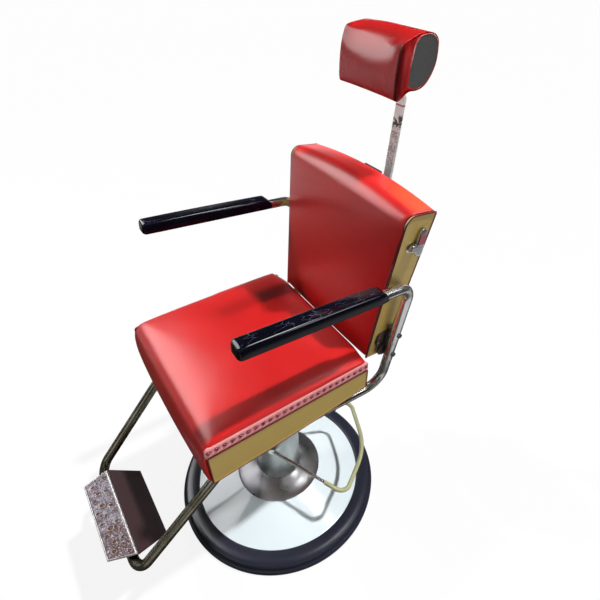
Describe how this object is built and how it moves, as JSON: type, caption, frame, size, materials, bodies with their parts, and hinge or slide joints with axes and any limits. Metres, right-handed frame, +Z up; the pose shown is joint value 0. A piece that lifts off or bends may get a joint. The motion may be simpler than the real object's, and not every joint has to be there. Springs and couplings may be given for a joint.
{
  "type": "barber chair",
  "caption": "Hydraulic barber chair: round pedestal base with pump lever, padded seat on a tube frame with arm pads, reclining back, sliding headrest and turn-over footrest.",
  "frame": {"origin": "on the floor, on the axis of the column", "axes": "+Z up, the sitter faces -Y, the sitter's left side is +X"},
  "size_m": [0.6599, 0.9204, 1.386],
  "materials": {
    "steel_dark": "plain steel, lightly oiled",
    "dome_enamel": "glossy bluish-white enamel with small chips",
    "bumper_rubber": "smooth blue-black rubber",
    "chrome": "bright chrome plate",
    "column_steel": "turned steel with a dull polish",
    "screw_chrome": "chrome-plated screws",
    "lever_vinyl": "clear vinyl tube that has yellowed",
    "bearing_brass": "plain bearing metal",
    "frame_paint": "dark grey paint, worn at the edges",
    "arm_gloss": "glossy blue-black moulding with fine scratches",
    "screw_dark": "blackened steel",
    "wood": "plain hardwood",
    "vinyl_red": "glossy red vinyl upholstery",
    "vinyl_tan": "glossy gold-tan vinyl",
    "strip_red": "glossy red vinyl strip",
    "nail_metal": "domed upholstery nails covered in red",
    "vinyl_maroon": "dark maroon vinyl on the rear of the back",
    "insert_maroon": "glossy maroon inlay",
    "end_grey": "flat dark grey board",
    "foot_frame": "dark painted steel",
    "foot_tread": "cast tread plate with worn raised rings and rust marks",
    "foot_rubber": "dark brown rubber"
  },
  "bodies": {
    "base": {"base_plate": "steel_dark", "base_dome": "dome_enamel", "base_ring": "bumper_rubber", "column_flange": "chrome", "pump_housing": "column_steel", "pump_cylinder": "steel_dark", "pump_block": "steel_dark", "gland_nut": "chrome", "dome_screws": "screw_chrome"},
    "lever": {"pump_lever": "chrome", "lever_sleeve": "lever_vinyl", "lever_crank": "steel_dark"},
    "plunger": {"pump_plunger": "chrome", "plunger_spring": "steel_dark"},
    "lift": {"lift_ram": "chrome", "ram_collar": "bearing_brass"},
    "seat": {"swivel_hub": "frame_paint", "seat_rails": "frame_paint", "rail_bolts": "screw_chrome", "side_tube_left": "chrome", "side_tube_right": "chrome", "footrest_tube": "chrome", "arm_pad_left": "arm_gloss", "arm_pad_right": "arm_gloss", "tube_plates": "frame_paint", "tube_plate_screws": "screw_dark", "seat_board": "wood", "seat_box": "wood", "seat_deck": "wood", "seat_cushion": "vinyl_red", "seat_front_cover": "vinyl_red", "seat_rear_cover": "vinyl_red", "seat_panel_left": "vinyl_tan", "seat_panel_right": "vinyl_tan", "nail_strip_left": "strip_red", "nail_strip_right": "strip_red", "upholstery_nails": "nail_metal"},
    "back": {"back_board": "wood", "back_cushion": "vinyl_red", "back_panel_left": "vinyl_tan", "back_panel_right": "vinyl_tan", "back_rear_panel": "vinyl_maroon", "back_top_cover": "vinyl_red", "back_plates": "frame_paint", "back_plate_screws": "screw_chrome", "bar_guide": "frame_paint", "clamp_shoe": "bearing_brass", "clamp_washer": "chrome"},
    "clamp": {"clamp_shaft": "chrome", "clamp_lever": "chrome", "clamp_insert": "insert_maroon"},
    "bar": {"headrest_bar": "chrome"},
    "headrest": {"headrest_block": "wood", "headrest_cushion": "vinyl_red", "headrest_end_left": "end_grey", "headrest_end_right": "end_grey"},
    "footrest": {"footrest_frame": "foot_frame", "footrest_tread": "foot_tread", "footrest_pad": "foot_rubber"}
  },
  "joints": [
    {"name": "column_lift", "type": "slide", "parent": "base", "child": "lift", "axis": [0, 0, 1], "range_m": [-0.12, 0.01]},
    {"name": "seat_swivel", "type": "hinge", "parent": "lift", "child": "seat", "pos_m": [0, 0, 0.56], "axis": [0, 0, 1], "continuous": true},
    {"name": "backrest_recline", "type": "hinge", "parent": "seat", "child": "back", "pos_m": [0, 0.216, 0.702], "axis": [-1, 0, 0], "range_deg": [0, 15]},
    {"name": "clamp_turn", "type": "hinge", "parent": "back", "child": "clamp", "pos_m": [0.2245, 0.24882, 1.00399], "axis": [1, 0, 0], "range_deg": [0, 60]},
    {"name": "headrest_height", "type": "slide", "parent": "back", "child": "bar", "axis": [0, 0.0889, 0.996], "range_m": [-0.12, 0.07]},
    {"name": "headrest_tilt", "type": "hinge", "parent": "bar", "child": "headrest", "pos_m": [0, 0.335, 1.312], "axis": [1, 0, 0], "range_deg": [-20, 20]},
    {"name": "footrest_flip", "type": "hinge", "parent": "seat", "child": "footrest", "pos_m": [0, -0.484, 0.29], "axis": [1, 0, 0], "range_deg": [0, 170]},
    {"name": "pump_stroke", "type": "hinge", "parent": "base", "child": "lever", "pos_m": [0, 0, 0.275], "axis": [-0.766, 0.6428, 0], "range_deg": [0, 16], "stiffness_Nm_per_rad": 20, "springref_deg": -22.92},
    {"name": "plunger_slide", "type": "slide", "parent": "base", "child": "plunger", "axis": [0, 0, 1], "range_m": [-0.006, 0], "deforming": ["plunger_spring"]}
  ],
  "couplings": [
    {"joint": "plunger_slide", "follows": "pump_stroke", "m_per_rad": -0.02}
  ]
}
